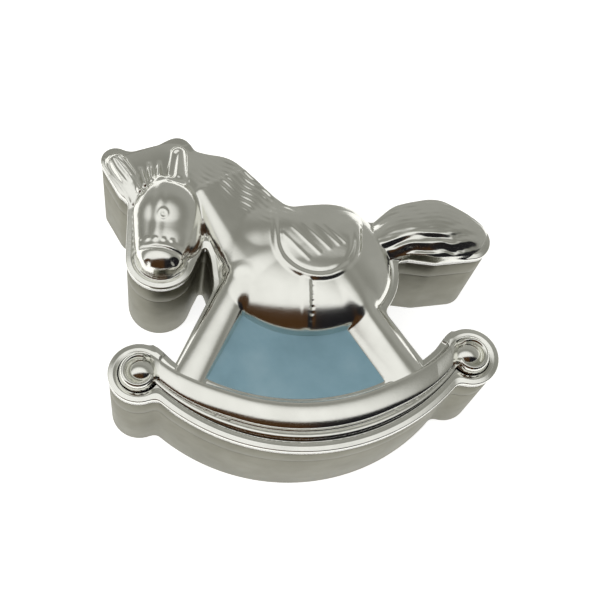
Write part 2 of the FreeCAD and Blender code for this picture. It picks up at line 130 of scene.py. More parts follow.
def soft_max(first, second, blend):
    """The higher of two heights, raised by up to a quarter of the blend where they are close and above 0."""
    overlap = np.maximum(blend - np.abs(first - second), 0) / blend
    both = np.clip(np.minimum(first, second) / blend, 0, 1)
    return np.maximum(first, second) + both * overlap**2 * blend / 4


# Middle lines of the legs as a point and a normal, the lower end between them, and the circles along the tail
FRONT_LEG_LINE = ((-9.58, 19.0), (-0.874, 0.486))
REAR_LEG_LINE = ((8.5, 13.68), (0.860, 0.511))
LEG_HALF_WIDTH = 3.99
FOOT_LEVEL = -12.706
TAIL_STOPS = [((7.0, 18.8), 3.94), ((16.5, 24.0), 3.94), ((22.0, 26.0), 5.51), ((27.2, 25.9), 6.3),
              ((34.4, 24.0), 3.94)]


def hollow_forms(x, y, inset):
    """Distances to the forms that are hollow, drawn in by inset: stand, body, neck with head, and tail."""
    outer = disc(x, y, ROCKER_CENTRE, ROCKER_RADIUS)
    front_side = half_plane(x, y, *FRONT_LEG_LINE, LEG_HALF_WIDTH)
    rear_side = half_plane(x, y, *REAR_LEG_LINE, LEG_HALF_WIDTH)
    stand = np.maximum.reduce([outer, front_side, rear_side, y - 17.0, FOOT_LEVEL - y])
    body = taper(x, y, (-4.46, 18.5), 11.48, (6.98, 18.79), 12.26)
    neck = taper(x, y, (-5.98, 21.02), 9.34, (-14.47, 37.0), 5.96)
    poll = taper(x, y, (-24.48, 33.48), 6.64, (-14.47, 37.0), 5.96)
    head = taper(x, y, (-25.7, 22.68), 6.3, (-24.48, 33.48), 6.64)
    # A circle of the tail that the inset leaves too small to hollow is left out
    stops = [stop for stop in TAIL_STOPS if stop[1] - inset > 0.15 * inset]
    tail = [taper(x, y, *first, *second) for first, second in zip(stops, stops[1:])]
    forms = [stand, body, np.minimum.reduce([neck, poll, head]), np.minimum.reduce(tail)]
    return [form + inset for form in forms]


def hollow_field(inset):
    """The inside of the box as a signed distance, drawn in by inset."""
    return lambda x, y: np.minimum.reduce(hollow_forms(x, y, inset))


def whole_field(inset):
    """The whole outline as a signed distance, drawn in by inset, with its inner corners rounded."""
    blend = 1.4

    def field(x, y):
        """The least of the distances to the rocker's band, the hollow forms and the solid ones, blended."""
        band = np.maximum.reduce([
            disc(x, y, ROCKER_CENTRE, ROCKER_RADIUS),
            -disc(x, y, UPPER_CENTRE, ROCKER_RADIUS),
            np.abs(x) * 0.983 + y * 0.184 - 27.89,
        ])
        scrolls = disc(np.abs(x), y, (SCROLL_X, 0.0), SCROLL_RADIUS)
        near_ear = taper(x, y, (-29.52, 38.52), 3.94, (-33.26, 43.49), 2.7)
        far_ear = taper(x, y, (-22.03, 40.03), 3.94, (-21.31, 45.5), 2.7)
        forelock = taper(x, y, (-29.52, 41.47), 3.83, (-23.47, 43.13), 3.83)
        nape = taper(x, y, (-20.59, 43.2), 2.7, (-15.48, 38.52), 4.84)
        jaw = disc(x, y, (-23.62, 26.57), 6.19)
        brow = disc(x, y, (-25.8, 39.2), 4.4)
        throat = taper(x, y, (-17.6, 27.9), 2.9, (-18.6, 33.5), 4.0)
        solid_forms = [scrolls, near_ear, far_ear, forelock, nape, jaw, brow, throat]
        stand, *others = hollow_forms(x, y, inset)
        joined = np.minimum(stand, band + inset)
        for form in others + [form + inset for form in solid_forms]:
            joined = soft_min(joined, form, blend)
        return joined
    return field


def panel_field(x, y):
    """The enamel panel as a signed distance: between the legs, above the rocker's upper curve."""
    return np.maximum.reduce([
        disc(x, y, UPPER_CENTRE, ROCKER_RADIUS - 0.45),
        half_plane(x, y, *FRONT_LEG_LINE, 0.5),
        half_plane(x, y, *REAR_LEG_LINE, 0.5),
        y - 12.0,
    ])


# Relief of the lid: heights above the rim, in units

def ridge(distance, half_width, rise, edge=0.8):
    """A rounded bead on a line, from the distance to that line.

    With d for the distance as a share of the half width, its height is the rise times 1 - d squared, to the
    power edge. The lower the power, the steeper its edges.
    """
    return rise * np.clip(1 - (distance / half_width) ** 2, 0, 1) ** edge


def swell(distance, half_width, rise):
    """A soft bump on a line: a squared cosine of the distance to it."""
    return rise * np.cos(np.clip(distance / half_width, -1, 1) * math.pi / 2) ** 2


def stroke(x, y, points):
    """Distance to a line through points."""
    pieces = [taper(x, y, first, 0.0, second, 0.0) for first, second in zip(points, points[1:])]
    return np.minimum.reduce(pieces)


def limb(x, y, start, end, edge=0.5):
    """A rounded limb between two circles, each a centre, a radius and a rise.

    With c for the distance from the middle as a share of the radius there, its height is the rise there times
    1 - c squared, to the power edge: half round at a half, and with gentler edges up to a parabola at 1.
    Outside it the height falls away below zero.
    """
    depth = -taper(x, y, start[0], start[1], end[0], end[1])
    reach = np.array(end[0]) - np.array(start[0])
    along = ((x - start[0][0]) * reach[0] + (y - start[0][1]) * reach[1]) / float(reach @ reach)
    along = np.clip(along, 0, 1)
    radius = start[1] + (end[1] - start[1]) * along
    rise = start[2] + (end[2] - start[2]) * along
    climb = 1 - np.clip(depth / radius, 0, 1)
    return np.where(depth > 0, rise * (1 - climb**2) ** edge, 3 * depth)


def egg(x, y, centre, radii, rise, edge=0.5):
    """The upper half of an ellipsoid, or a form with gentler edges for a higher power.

    With s for the sum of the squared shares of the radii, its height is the rise times 1 - s, to the power
    edge. Outside it the height falls away below zero.
    """
    share = ((x - centre[0]) / radii[0]) ** 2 + ((y - centre[1]) / radii[1]) ** 2
    inside = rise * np.clip(1 - share, 0, 1) ** edge
    return np.where(share < 1, inside, 3 * min(radii) * (1 - np.sqrt(share)))


def rocker_profile(place, end):
    """Heights across the rocker, from place 0 at its roll to 1 at its top: a cord, a big bead and a band.

    The bead has a flat back that leans to the front. Towards an end of the rocker, where end goes from 0 to
    1, the bead takes more of the width, the cord sinks and the band fades.
    """
    cord = ridge(place - 0.14, 0.1, 0.6, 0.5) * (1 - 0.5 * end)
    bead = ridge(place - 0.58, 0.33 + 0.05 * end, 2.2, 0.15)
    bead = bead + 1.2 * (place - 0.58) * (bead > 0)
    band = ridge(place - 0.955, 0.045, 0.5, 0.6) * (1 - end)
    return np.maximum.reduce([cord, bead, band])


def scroll_relief(across, up):
    """A volute: a bead wound inwards by its angle, round a low mound, with the bead's two ends faded."""
    radius = np.hypot(across, up)
    turn = np.mod(np.arctan2(up, across) - 0.81, 2 * math.pi) / (2 * math.pi)
    path = 2.85 - 0.5 * np.clip((turn - 0.45) / 0.4, 0, 1) ** 2
    ends = np.clip((0.9 - turn) * 10, 0, 1) * np.clip(turn * 14, 0, 1)
    wound = ridge(radius - path, 0.75, 1.8, 0.5) * ends
    mound = egg(across, up, (0.5, 0.15), (2.7, 2.4), 2.1, 0.55)
    return np.maximum(wound, mound)


def saddle_relief(x, y, body):
    """Saddle: the body, or a full seat over it, raised a step, with a piped border and slanting quilting."""
    depth = -taper(x, y, (3.3, 23.1), 8.6, (3.9, 31.0), 9.0)
    seat = limb(x, y, ((-0.6, 23.8), 7.2, 5.0), ((8.0, 23.2), 7.2, 4.9), 0.5)
    field = np.clip(depth / 0.8, 0, 1) * 0.2
    border = ridge(depth - 0.75, 0.65, 0.2)
    groove = swell(depth - 1.75, 0.6, -0.18)
    starts = np.array([(-3.2, 24.2), (-1.2, 25.4), (0.9, 26.3), (3.0, 26.6), (5.0, 26.2)])
    ends = starts + np.array([(4.6, -5.4), (4.7, -5.5), (4.6, -5.5), (4.3, -5.0), (3.6, -4.2)])
    quilting = sum(swell(stroke(x, y, line), 0.45, 0.09) for line in zip(starts, ends))
    trim = (field + border + groove) * np.clip((30.8 - 0.35 * x - y) / 4, 0, 1)
    return np.where(depth > 0, soft_max(body, seat, 1.5) + trim + quilting, -1)


def girth_relief(x, y):
    """Girth strap below the saddle, to add to the body: a step with a stitched edge."""
    strap = 1.1 - stroke(x, y, [(0.6, 15.6), (0.0, 7.0)])
    stitch = stroke(x, y, [(1.7, 15.4), (1.0, 7.0)])
    dots = 0.6 + 0.4 * np.sin(y * 6.0)
    return np.clip(strap / 0.5, 0, 1) * 0.2 - swell(stitch, 0.45, 0.3) * dots


def head_relief(x, y):
    """Head: skull, cheek and crown grown together, a round muzzle, and noseband, nostrils and eye on them."""
    skull = limb(x, y, ((-25.5, 23.4), 5.0, 3.8), ((-24.3, 31.2), 6.2, 4.1), 0.4)
    cheek = limb(x, y, ((-22.9, 26.6), 5.4, 3.5), ((-22.1, 32.4), 5.8, 3.8), 0.6)
    crown = limb(x, y, ((-24.0, 32.4), 6.0, 4.0), ((-24.8, 37.4), 2.4, 3.1), 0.7)
    face = soft_max(soft_max(skull, cheek, 2.5), crown, 2.5)
    brow = swell(stroke(x, y, [(-24.4, 38.0), (-25.6, 31.0), (-26.6, 24.5)]), 1.7, 0.3)
    face = face + brow * np.clip((face - 2.0) / 2.0, 0, 1)
    muzzle = egg(x, y, (-25.5, 21.6), (4.5, 3.4), 3.9)
    head = soft_max(face, muzzle, 2.0)
    band = stroke(x, y, [(-29.6, 25.2), (-27.4, 24.8), (-25.2, 24.4), (-22.6, 23.8)])
    beads = np.clip(np.sin(x * 4.2) * 1.5, 0, 1)
    line = stroke(x, y, [(-30.3, 23.3), (-27.6, 23.0), (-25.2, 22.6), (-22.4, 21.7), (-20.0, 20.4)])
    eye = np.hypot((x + 24.9) * 1.15, y - 29.4)
    nostrils = np.minimum(np.hypot(x + 28.3, y - 20.0), np.hypot(x + 23.3, y - 20.0))
    details = swell(band, 0.45, 0.22) * beads - swell(line, 0.5, 0.4)
    details += swell(eye - 0.85, 0.4, 0.18) + swell(eye, 0.5, 0.15) - swell(nostrils, 0.9, 0.45)
    return head + details * np.clip(head - 0.5, 0, 1)


def ear_relief(x, y):
    """Near ear with long ridges from root to tip, and far ear as a drop hollowed beside its raised edge."""
    near = limb(x, y, ((-28.7, 35.4), 2.8, 1.5), ((-33.2, 42.9), 2.3, 1.5), 0.9)
    root, way = (-29.9, 37.4), (-3.4, 5.6)
    length = math.hypot(*way)
    along = ((x - root[0]) * way[0] + (y - root[1]) * way[1]) / length**2
    across = ((x - root[0]) * way[1] - (y - root[1]) * way[0]) / length
    belly = np.sqrt(np.clip(1.15 - (1.7 * (along - 0.5)) ** 2, 0.12, 1))
    ridges = 0.5 + 0.5 * np.cos(across / belly * 4.4 - 0.6)
    ridges = ridges * np.clip((near - 0.8) / 0.5, 0, 1) * np.clip((along - 0.1) / 0.3, 0, 1)
    near = near + 0.7 * ridges
    far = limb(x, y, ((-21.6, 38.4), 2.9, 3.0), ((-21.2, 44.4), 1.8, 1.8), 0.8)
    hollow = swell(stroke(x, y, [(-22.6, 38.6), (-21.7, 44.0)]), 0.9, 0.6)
    return np.maximum(near, far - hollow * np.clip((far - 0.5) / 1.5, 0, 1))


def forelock_relief(x, y):
    """Forelock: drop-shaped tufts fanned out above the brow, over low ground between the ears."""
    roots = [(-28.9, 35.8), (-27.9, 37.0), (-26.7, 37.8), (-25.4, 38.5)]
    tips = [(-30.0, 39.0), (-28.7, 41.2), (-27.0, 42.2), (-25.0, 42.4)]
    tufts = [limb(x, y, (root, 1.1, 2.5), (tip, 0.7, 1.0), 1.0) for root, tip in zip(roots, tips)]
    ground = limb(x, y, ((-28.8, 38.6), 6.5, 0.8), ((-22.6, 40.6), 6.5, 0.9), 1.0)
    return np.maximum.reduce(tufts + [ground])


def mane_relief(x, y):
    """Mane, to add to the neck: soft streaks along its crest, in clumps."""
    crest = stroke(x, y, [(-17.5, 40.6), (-12.5, 39.6), (-8.2, 35.4), (-4.4, 31.4)])
    along = (x + 17.0) * 0.74 - (y - 40.0) * 0.67
    across = (x + 17.0) * 0.67 + (y - 40.0) * 0.74
    streaks = np.sin(across * 5.5 + 1.3 * np.sin(along * 0.9))
    clumps = 0.6 + 0.4 * np.sin(along * 1.3 + 0.9 * across)
    return 0.08 * streaks * clumps * np.clip((5.6 - crest) / 2.6, 0, 1)


def tail_relief(x, y):
    """Tail: a full mound with fine streaks, heavy locks on its lower side and ragged tufts at its end."""
    root = limb(x, y, ((15.4, 23.6), 3.3, 2.3), ((22.5, 25.4), 5.2, 2.8), 0.8)
    back = y - 0.3 * np.maximum(y - 25.5, 0)
    mound = soft_max(root, egg(x, back, (26.6, 25.5), (11.6, 6.6), 3.1, 0.8), 1.5)
    spine = 21.3 + 3.4 * np.sin(np.clip((x - 12.0) / 26.0, 0, 1) * math.pi)
    lift = y - spine
    low = np.clip(0.6 - lift, 0, 1)
    tip = np.clip((x - 28.0) / 3.0, 0, 1)
    broken = 0.65 + 0.35 * np.sin(x * 0.8 + lift * 1.3)
    locks = 0.32 * np.cos(lift * 3.0 + 0.5 * np.sin(x * 0.8)) * low * (1 - tip) * broken
    streaks = 0.03 * np.sin(lift * 6.0 + 1.4 * np.sin(x * 0.6)) * (0.6 + 0.4 * np.sin(x * 1.7 + lift))
    tufts = 0.2 * np.sin(lift * 2.4 - (x - 30.0) * 1.3) * tip * np.clip(1.2 - 0.4 * lift, 0, 1)
    return mound + (locks + streaks + tufts) * np.clip(mound - 0.6, 0, 1)


def flange_line(x, y):
    """A fine line inside the rolled edge of the horse, from the distance to the outline."""
    depth = -whole_field(0.0)(x, y)
    off_body = np.clip(y - 6.0, 0, 1) * np.clip(np.abs(x + 6) - 14, 0, 1)
    return swell(depth - 1.83, 0.35, 0.2) * off_body


def trunk_relief(x, y):
    """Body, neck and legs, grown together. The body is drawn out to the back and the neck to the right."""
    back = y - 0.23 * np.maximum(y - 18.3, 0)
    body = egg(x, back, (1.6, 18.3), (16.3, 12.7), 5.15)
    way = (0.902, 0.432)
    drawn = 0.83 * np.maximum(half_plane(x, y, (-10.6, 21.7), way, 0.0), 0)
    neck_x, neck_y = x - way[0] * drawn, y - way[1] * drawn
    neck = limb(neck_x, neck_y, ((-9.8, 20.0), 4.3, 3.7), ((-17.0, 35.0), 2.5, 3.2), 0.42)
    nape = limb(neck_x, neck_y, ((-17.0, 35.0), 2.5, 3.2), ((-21.2, 43.8), 2.0, 0.2), 0.42)
    neck = np.maximum(neck, nape)
    withers = limb(x, y, ((-6.5, 26.0), 5.0, 4.0), ((-1.6, 26.0), 5.2, 4.8), 0.5)
    front = limb(x, y, ((-11.0, 17.0), 3.3, 2.9), ((-22.4, -2.4), 2.9, 1.1), 0.5)
    rear = limb(x, y, ((6.9, 16.6), 4.0, 3.4), ((18.3, -4.1), 3.8, 1.1), 0.85)
    rear = rear + 0.1 * half_plane(x, y, *REAR_LEG_LINE, 0.5) * np.clip(rear, 0, 1)
    above_rocker = disc(x, y, UPPER_CENTRE, ROCKER_RADIUS) < 2.4
    legs = np.where(above_rocker, np.maximum(front, rear), -1)
    neck = soft_max(neck, withers, 1.5)
    neck = neck + mane_relief(x, y) * np.clip((neck - 1.0) / 1.5, 0, 1)
    return soft_max(soft_max(body, neck, 2.4), legs, 2.6)


def relief(x, y):
    """The lid's whole relief: the higher of its forms, over the plate and the recess for the enamel."""
    trunk = trunk_relief(x, y)
    girth = girth_relief(x, y) * np.clip(trunk - 1, 0, 1)
    form = np.maximum.reduce([
        trunk + girth,
        saddle_relief(x, y, trunk),
        soft_max(head_relief(x, y), ear_relief(x, y), 2.0),
        forelock_relief(x, y),
        tail_relief(x, y),
    ])
    recess = 0.7 * MM * np.clip(-panel_field(x, y) / 0.3, 0, 1)
    return np.maximum(form, flange_line(x, y) - recess)


def eased(heights):
    """Heights on a lattice, each averaged with its neighbours, with twice the weight for itself."""
    for axis in (0, 1):
        heights = (np.roll(heights, 1, axis) + 2 * heights + np.roll(heights, -1, axis)) / 4
    return heights


# Meshes: regions of a square lattice whose edges are moved on to an outline

class Outline:
    """The lattice cells inside a signed distance, with the corners on their edge moved to its zero line."""

    def __init__(self, field, step):
        xs = np.arange(LATTICE_LOW[0], LATTICE_HIGH[0], step)
        ys = np.arange(LATTICE_LOW[1], LATTICE_HIGH[1], step)
        self.field = field
        self.x, self.y = np.meshgrid(xs, ys)
        self.mask = field(self.x[:-1, :-1] + step / 2, self.y[:-1, :-1] + step / 2) < 0
        padded = np.pad(self.mask, 1).astype(int)
        count = padded[:-1, :-1] + padded[:-1, 1:] + padded[1:, :-1] + padded[1:, 1:]
        self.edge = (count > 0) & (count < 4)
        x, y = self.moved(self.x[self.edge], self.y[self.edge], 0.0, 4)
        slope_x, slope_y = slopes(field, x, y)
        length = np.maximum(np.hypot(slope_x, slope_y), 1e-6)
        self.x, self.y = self.x.copy(), self.y.copy()
        self.x[self.edge], self.y[self.edge] = x, y
        self.normal_x, self.normal_y = np.zeros_like(self.x), np.zeros_like(self.y)
        self.normal_x[self.edge], self.normal_y[self.edge] = slope_x / length, slope_y / length

    def moved(self, x, y, level, tries):
        """Points moved along the slope of the signed distance until it reaches a level."""
        for _ in range(tries):
            slope_x, slope_y = slopes(self.field, x, y)
            steep = np.maximum(slope_x**2 + slope_y**2, 0.2)
            distance = self.field(x, y) - level
            x, y = x - distance * slope_x / steep, y - distance * slope_y / steep
        return x, y

    def sides(self):
        """Ends of the lattice sides round the cells, as flat indices, with the cells on their left."""
        index = np.arange(self.x.size).reshape(self.x.shape)
        rows = np.pad(self.mask, ((1, 1), (0, 0)))
        columns = np.pad(self.mask, ((0, 0), (1, 1)))
        above, below = rows[1:] & ~rows[:-1], rows[:-1] & ~rows[1:]
        right, left = columns[:, 1:] & ~columns[:, :-1], columns[:, :-1] & ~columns[:, 1:]
        starts = [index[:, :-1][above], index[:, 1:][below], index[1:][right], index[:-1][left]]
        ends = [index[:, 1:][above], index[:, :-1][below], index[:-1][right], index[1:][left]]
        return np.concatenate(starts), np.concatenate(ends)

    def loop(self):
        """The lattice points used by those sides, and the sides as pairs of places among them."""
        used, pairs = np.unique(np.stack(self.sides()), return_inverse=True)
        return used, pairs.reshape(2, -1)


def slopes(field, x, y, reach=0.02):
    """Slope of a signed distance along x and along y, from central differences."""
    along_x = (field(x + reach, y) - field(x - reach, y)) / (2 * reach)
    along_y = (field(x, y + reach) - field(x, y - reach)) / (2 * reach)
    return along_x, along_y


class Shell:
    """Collects flats and walls of one closed piece."""

    def __init__(self):
        self.points, self.quads, self.total = [], [], 0

    def add(self, points, quads):
        """Adds corners and four-sided faces."""
        self.points.append(points)
        self.quads.append(quads + self.total)
        self.total += len(points)

    def flat(self, outline, height, up, hole=None):
        """The cells of an outline, less those of a hole, at one height or at a height for each corner."""
        mask = outline.mask if hole is None else outline.mask & ~hole.mask
        x, y = outline.x, outline.y
        if hole is not None:
            x, y = np.where(hole.edge, hole.x, x), np.where(hole.edge, hole.y, y)
        z = np.broadcast_to(height, x.shape)
        index = np.arange(x.size).reshape(x.shape)
        corners = [index[:-1, :-1][mask], index[:-1, 1:][mask], index[1:, 1:][mask], index[1:, :-1][mask]]
        quads = np.stack(corners if up else corners[::-1], axis=1)
        used, quads = np.unique(quads, return_inverse=True)
        points = np.stack([x.ravel()[used], y.ravel()[used], z.ravel()[used]], axis=1)
        self.add(points, quads.reshape(-1, 4))

    def wall(self, outline, profile, inward=False):
        """A profile of offsets and heights, from low to high, carried round an outline."""
        used, pairs = outline.loop()
        x, y = outline.x.ravel()[used], outline.y.ravel()[used]
        normal_x, normal_y = outline.normal_x.ravel()[used], outline.normal_y.ravel()[used]
        offsets, heights = np.array(profile).T[:, :, None]
        rings = np.stack([x + normal_x * offsets, y + normal_y * offsets, heights + 0 * x], axis=2)
        self.rings(rings, pairs, inward)

    def rings(self, rings, pairs, inward=False):
        """Rows of points, from low to high, joined by quads along pairs of neighbours."""
        levels = np.arange(len(rings) - 1)[:, None] * rings.shape[1]
        above = levels + rings.shape[1]
        quads = [pairs[0] + levels, pairs[1] + levels, pairs[1] + above, pairs[0] + above]
        quads = np.stack(quads[::-1] if inward else quads, axis=2).reshape(-1, 4)
        self.add(rings.reshape(-1, 3), quads)

    def grid(self, x, y, z, flip=False):
        """A surface over a grid of points, whose rows and columns run like x and y."""
        index = np.arange(x.size).reshape(x.shape)
        corners = [index[:-1, :-1], index[1:, :-1], index[1:, 1:], index[:-1, 1:]]
        quads = np.stack([corner.ravel() for corner in (corners[::-1] if flip else corners)], axis=1)
        self.add(np.stack([x, y, z], axis=2).reshape(-1, 3), quads)

    def piece(self, name, body, node, material, close_hole=False):
        """The shell, with its seams joined, as one object that rides on a body and stands for a CAD node."""
        mesh = bpy.data.meshes.new(name)
        mesh.from_pydata(np.concatenate(self.points) * UNIT, [], np.concatenate(self.quads))
        shell = bmesh.new()
        shell.from_mesh(mesh)
        seams = [corner for corner in shell.verts if corner.is_boundary]
        bmesh.ops.remove_doubles(shell, verts=seams, dist=0.001 * UNIT)
        if close_hole:
            bmesh.ops.holes_fill(shell, edges=[edge for edge in shell.edges if edge.is_boundary], sides=0)
        shell.to_mesh(mesh)
        shell.free()
        mesh.polygons.foreach_set("use_smooth", np.full(len(mesh.polygons), True))
        mesh.materials.append(material)
        made = bpy.data.objects.new(name, mesh)
        bpy.context.scene.collection.objects.link(made)
        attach(made, body)
        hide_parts(node)
        return made


# Materials

def nodes_of(name):
    """A new material's tree and its Principled shader."""
    material = bpy.data.materials.new(name)
    material.use_nodes = True
    tree = material.node_tree
    return material, tree, tree.nodes["Principled BSDF"]


def grain_group():
    """The grain that all finishes share: noise on stretched Object coordinates, as a value from 0 to 1."""
    group = bpy.data.node_groups.new("grain", "ShaderNodeTree")
    group.interface.new_socket("Scale", in_out="INPUT", socket_type="NodeSocketFloat")
    group.interface.new_socket("Detail", in_out="INPUT", socket_type="NodeSocketFloat")
    group.interface.new_socket("Stretch", in_out="INPUT", socket_type="NodeSocketVector")
    group.interface.new_socket("Value", in_out="OUTPUT", socket_type="NodeSocketFloat")
    given = group.nodes.new("NodeGroupInput")
    result = group.nodes.new("NodeGroupOutput")
    coordinates = group.nodes.new("ShaderNodeTexCoord")
    mapping = group.nodes.new("ShaderNodeMapping")
    texture = group.nodes.new("ShaderNodeTexNoise")
    group.links.new(coordinates.outputs["Object"], mapping.inputs["Vector"])
    group.links.new(given.outputs["Stretch"], mapping.inputs["Scale"])
    group.links.new(mapping.outputs["Vector"], texture.inputs["Vector"])
    group.links.new(given.outputs["Scale"], texture.inputs["Scale"])
    group.links.new(given.outputs["Detail"], texture.inputs["Detail"])
    group.links.new(texture.outputs["Fac"], result.inputs["Value"])
    return group


GRAIN = grain_group()


def grain(tree, scale, detail, stretch=(1, 1, 1)):
    """The grain placed in a material with its own values; gives its value socket."""
    node = tree.nodes.new("ShaderNodeGroup")
    node.node_tree = GRAIN
    node.inputs["Scale"].default_value = scale
    node.inputs["Detail"].default_value = detail
    node.inputs["Stretch"].default_value = stretch
    return node.outputs["Value"]


def ramp(tree, value, stops):
    """Colours between places of a value."""
    node = tree.nodes.new("ShaderNodeValToRGB")
    while len(node.color_ramp.elements) < len(stops):
        node.color_ramp.elements.new(0.5)
    for element, (place, colour) in zip(node.color_ramp.elements, stops):
        element.position = place
        element.color = (*colour, 1)
    tree.links.new(value, node.inputs["Fac"])
    return node.outputs["Color"]


def spread(tree, value, low, high):
    """A value from 0 to 1 as one from low to high."""
    node = tree.nodes.new("ShaderNodeMapRange")
    node.inputs["To Min"].default_value = low
    node.inputs["To Max"].default_value = high
    tree.links.new(value, node.inputs["Value"])
    return node.outputs["Result"]


def bump(tree, shader, height, strength, distance):
    """Puts a height on the shader's normal."""
    node = tree.nodes.new("ShaderNodeBump")
    node.inputs["Strength"].default_value = strength
    node.inputs["Distance"].default_value = distance
    tree.links.new(height, node.inputs["Height"])
    tree.links.new(node.outputs["Normal"], shader.inputs["Normal"])


def plated(name, low, high, roughness, fineness, wave):
    """Silver plate: a metal whose colour and gloss vary a little, over a casting with a faint grain."""
    material, tree, shader = nodes_of(name)
    shader.inputs["Metallic"].default_value = 1
    cloud = grain(tree, 160, 4)
    tree.links.new(ramp(tree, cloud, [(0.3, low), (0.7, high)]), shader.inputs["Base Color"])
    tree.links.new(spread(tree, grain(tree, 420, 5), *roughness), shader.inputs["Roughness"])
    bump(tree, shader, grain(tree, fineness, 3), wave, 0.00004)
    return material


def enamel(name):
    """Cold enamel: blue, paler and darker in soft patches, with fine specks under a gloss."""
    material, tree, shader = nodes_of(name)
    cloud = grain(tree, 90, 5)
    blues = [(0.25, (0.17, 0.31, 0.38)), (0.5, (0.25, 0.43, 0.52)), (0.8, (0.38, 0.56, 0.64))]
    tree.links.new(ramp(tree, cloud, blues), shader.inputs["Base Color"])
    tree.links.new(spread(tree, grain(tree, 900, 4), 0.25, 0.5), shader.inputs["Roughness"])
    shader.inputs["Coat Weight"].default_value = 0.3
    shader.inputs["Coat Roughness"].default_value = 0.2
    bump(tree, shader, grain(tree, 1500, 3), 0.25, 0.00005)
    return material


def pile(name, low, high, sheen, fineness):
    """Velvet or felt: short fibres as fine noise, with a sheen."""
    material, tree, shader = nodes_of(name)
    fibres = grain(tree, fineness, 6)
    tree.links.new(ramp(tree, fibres, [(0.3, low), (0.7, high)]), shader.inputs["Base Color"])
    tree.links.new(spread(tree, fibres, 0.85, 1.0), shader.inputs["Roughness"])
    shader.inputs["Sheen Weight"].default_value = sheen
    shader.inputs["Sheen Roughness"].default_value = 0.4
    bump(tree, shader, fibres, 0.6, 0.0001)
    return material


def card(name):
    """Plain board: pale brown with fibres along one way."""
    material, tree, shader = nodes_of(name)
    fibres = grain(tree, 700, 5, (1, 0.2, 1))
    browns = [(0.3, (0.42, 0.36, 0.28)), (0.7, (0.55, 0.49, 0.40))]
    tree.links.new(ramp(tree, fibres, browns), shader.inputs["Base Color"])
    tree.links.new(spread(tree, fibres, 0.8, 0.95), shader.inputs["Roughness"])
    bump(tree, shader, fibres, 0.3, 0.00005)
    return material


polished = plated("polished_plate", (0.77, 0.77, 0.72), (0.87, 0.87, 0.82), (0.14, 0.22), 2600, 0.12)
# The satin plate's base colour is painted shade: it is far darker than the polished plate's silver, so the
# skirt and base walls render as dark as shaded walls. Its higher roughness is the real satin finish.
painted_shade_satin = plated("painted_shade_satin_plate", (0.25, 0.245, 0.198), (0.30, 0.295, 0.244), (0.45, 0.60), 330, 0.25)
blue_enamel = enamel("blue_enamel")
blue_velvet = pile("blue_velvet", (0.010, 0.022, 0.075), (0.035, 0.065, 0.19), 0.6, 2600)
grey_felt = pile("grey_felt", (0.030, 0.033, 0.040), (0.085, 0.09, 0.10), 0.2, 1800)
lining_card = card("lining_card")


# Pieces

def lid_relief():
    """Rim plate and relief: heights on a fine lattice, and rows along the outline that carry a rolled edge.

    Each row is the last one moved outwards, until none of the depth is left. The roll fades on the sides of
    the neck, head and tail that face the back, where the relief keeps its height to the edge.
    """
    depth = 1.6
    overhang = 0.16
    inner = Outline(whole_field(depth - overhang), RELIEF_STEP)
    shell = Shell()
    heights = relief(inner.x, inner.y)
    shell.flat(inner, RIM_TOP + np.where(inner.edge, heights, eased(heights)), True)
    used, pairs = inner.loop()
    x, y = inner.x.ravel()[used], inner.y.ravel()[used]
    rows = [np.stack([x, y, RIM_TOP + heights.ravel()[used]], axis=1)]
    for left in np.linspace(depth, 0, 17)[1:]:
        x, y = inner.moved(x, y, depth - left, 3)
        facing = slopes(inner.field, x, y)[1]
        plain = np.clip((facing - 0.1) / 0.25, 0, 1) * np.clip((y - 24) / 4, 0, 1)
        form = relief(x, y) * np.maximum(plain, math.sqrt(min(left / 0.6, 1)))
        roll = min(0.25 * left, 0.52 - 0.3 * left) * (1 - plain)
        rows.append(np.stack([x, y, RIM_TOP + np.maximum(form, roll) - 0.1 * (left == 0)], axis=1))
    rows.append(np.stack([x, y, np.full(x.shape, RIM_LOW)], axis=1))
    rows.append(rows[0] * (1, 1, 0) + (0, 0, RIM_LOW))
    shell.rings(np.stack(rows[::-1]), pairs)
    shell.piece("lid_relief", "lid", "lid_casting", polished, close_hole=True)


def rocker_moulding():
    """Mouldings of the rocker: their profile carried along its curve, and sunk into the plate at the edges.

    x and y follow the outer circle by the angle turn, moved up by a share of the rocker's depth, and z is the
    profile at that share, made smaller where the rocker narrows and rounded off at its ends.
    """
    turn = np.linspace(-0.82, 0.82, 480)[:, None]
    share = np.linspace(0, 1, 110)
    width = ROCKER_DEPTH * np.cos(turn)
    x = ROCKER_RADIUS * np.sin(turn)
    end = 0.5 - 0.5 * np.cos(math.pi * np.clip((np.abs(x) - 13) / 14, 0, 1))
    low, high = 1.7 / width, 1 - 1.2 * end / width
    place = low + (high - low) * share
    nose = np.sqrt(np.clip((28.5 - np.abs(x)) / 1.6, 0, 1))
    size = np.clip(width * (high - low) / 7.8, 0.6, 1)
    z = RIM_TOP + rocker_profile(share, end) * size * nose
    z[[0, -1]] = SUNK_LEVEL
    z[:, [0, -1]] = SUNK_LEVEL
    y = ROCKER_CENTRE[1] - ROCKER_RADIUS * np.cos(turn) + ROCKER_DEPTH * place
    shell = Shell()
    shell.grid(x + 0 * y, y, z)
    shell.piece("rocker_moulding", "lid", "lid_casting", polished, close_hole=True)


def scroll(name, side):
    """Inside of a scroll: its volute's heights on rings and spokes, sunk into the plate round the edge."""
    inside = SCROLL_RADIUS - 1.5
    radius = np.linspace(0, inside, 66)[:, None]
    angle = np.linspace(0, 2 * math.pi, 181)
    across, up = radius * np.cos(angle), radius * np.sin(angle)
    z = RIM_TOP + np.maximum(scroll_relief(across, up), -0.2)
    z[-1] = SUNK_LEVEL
    shell = Shell()
    shell.grid(side * (SCROLL_X - across), up, z, flip=side > 0)
    shell.piece(name, "lid", "lid_casting", polished, close_hole=True)


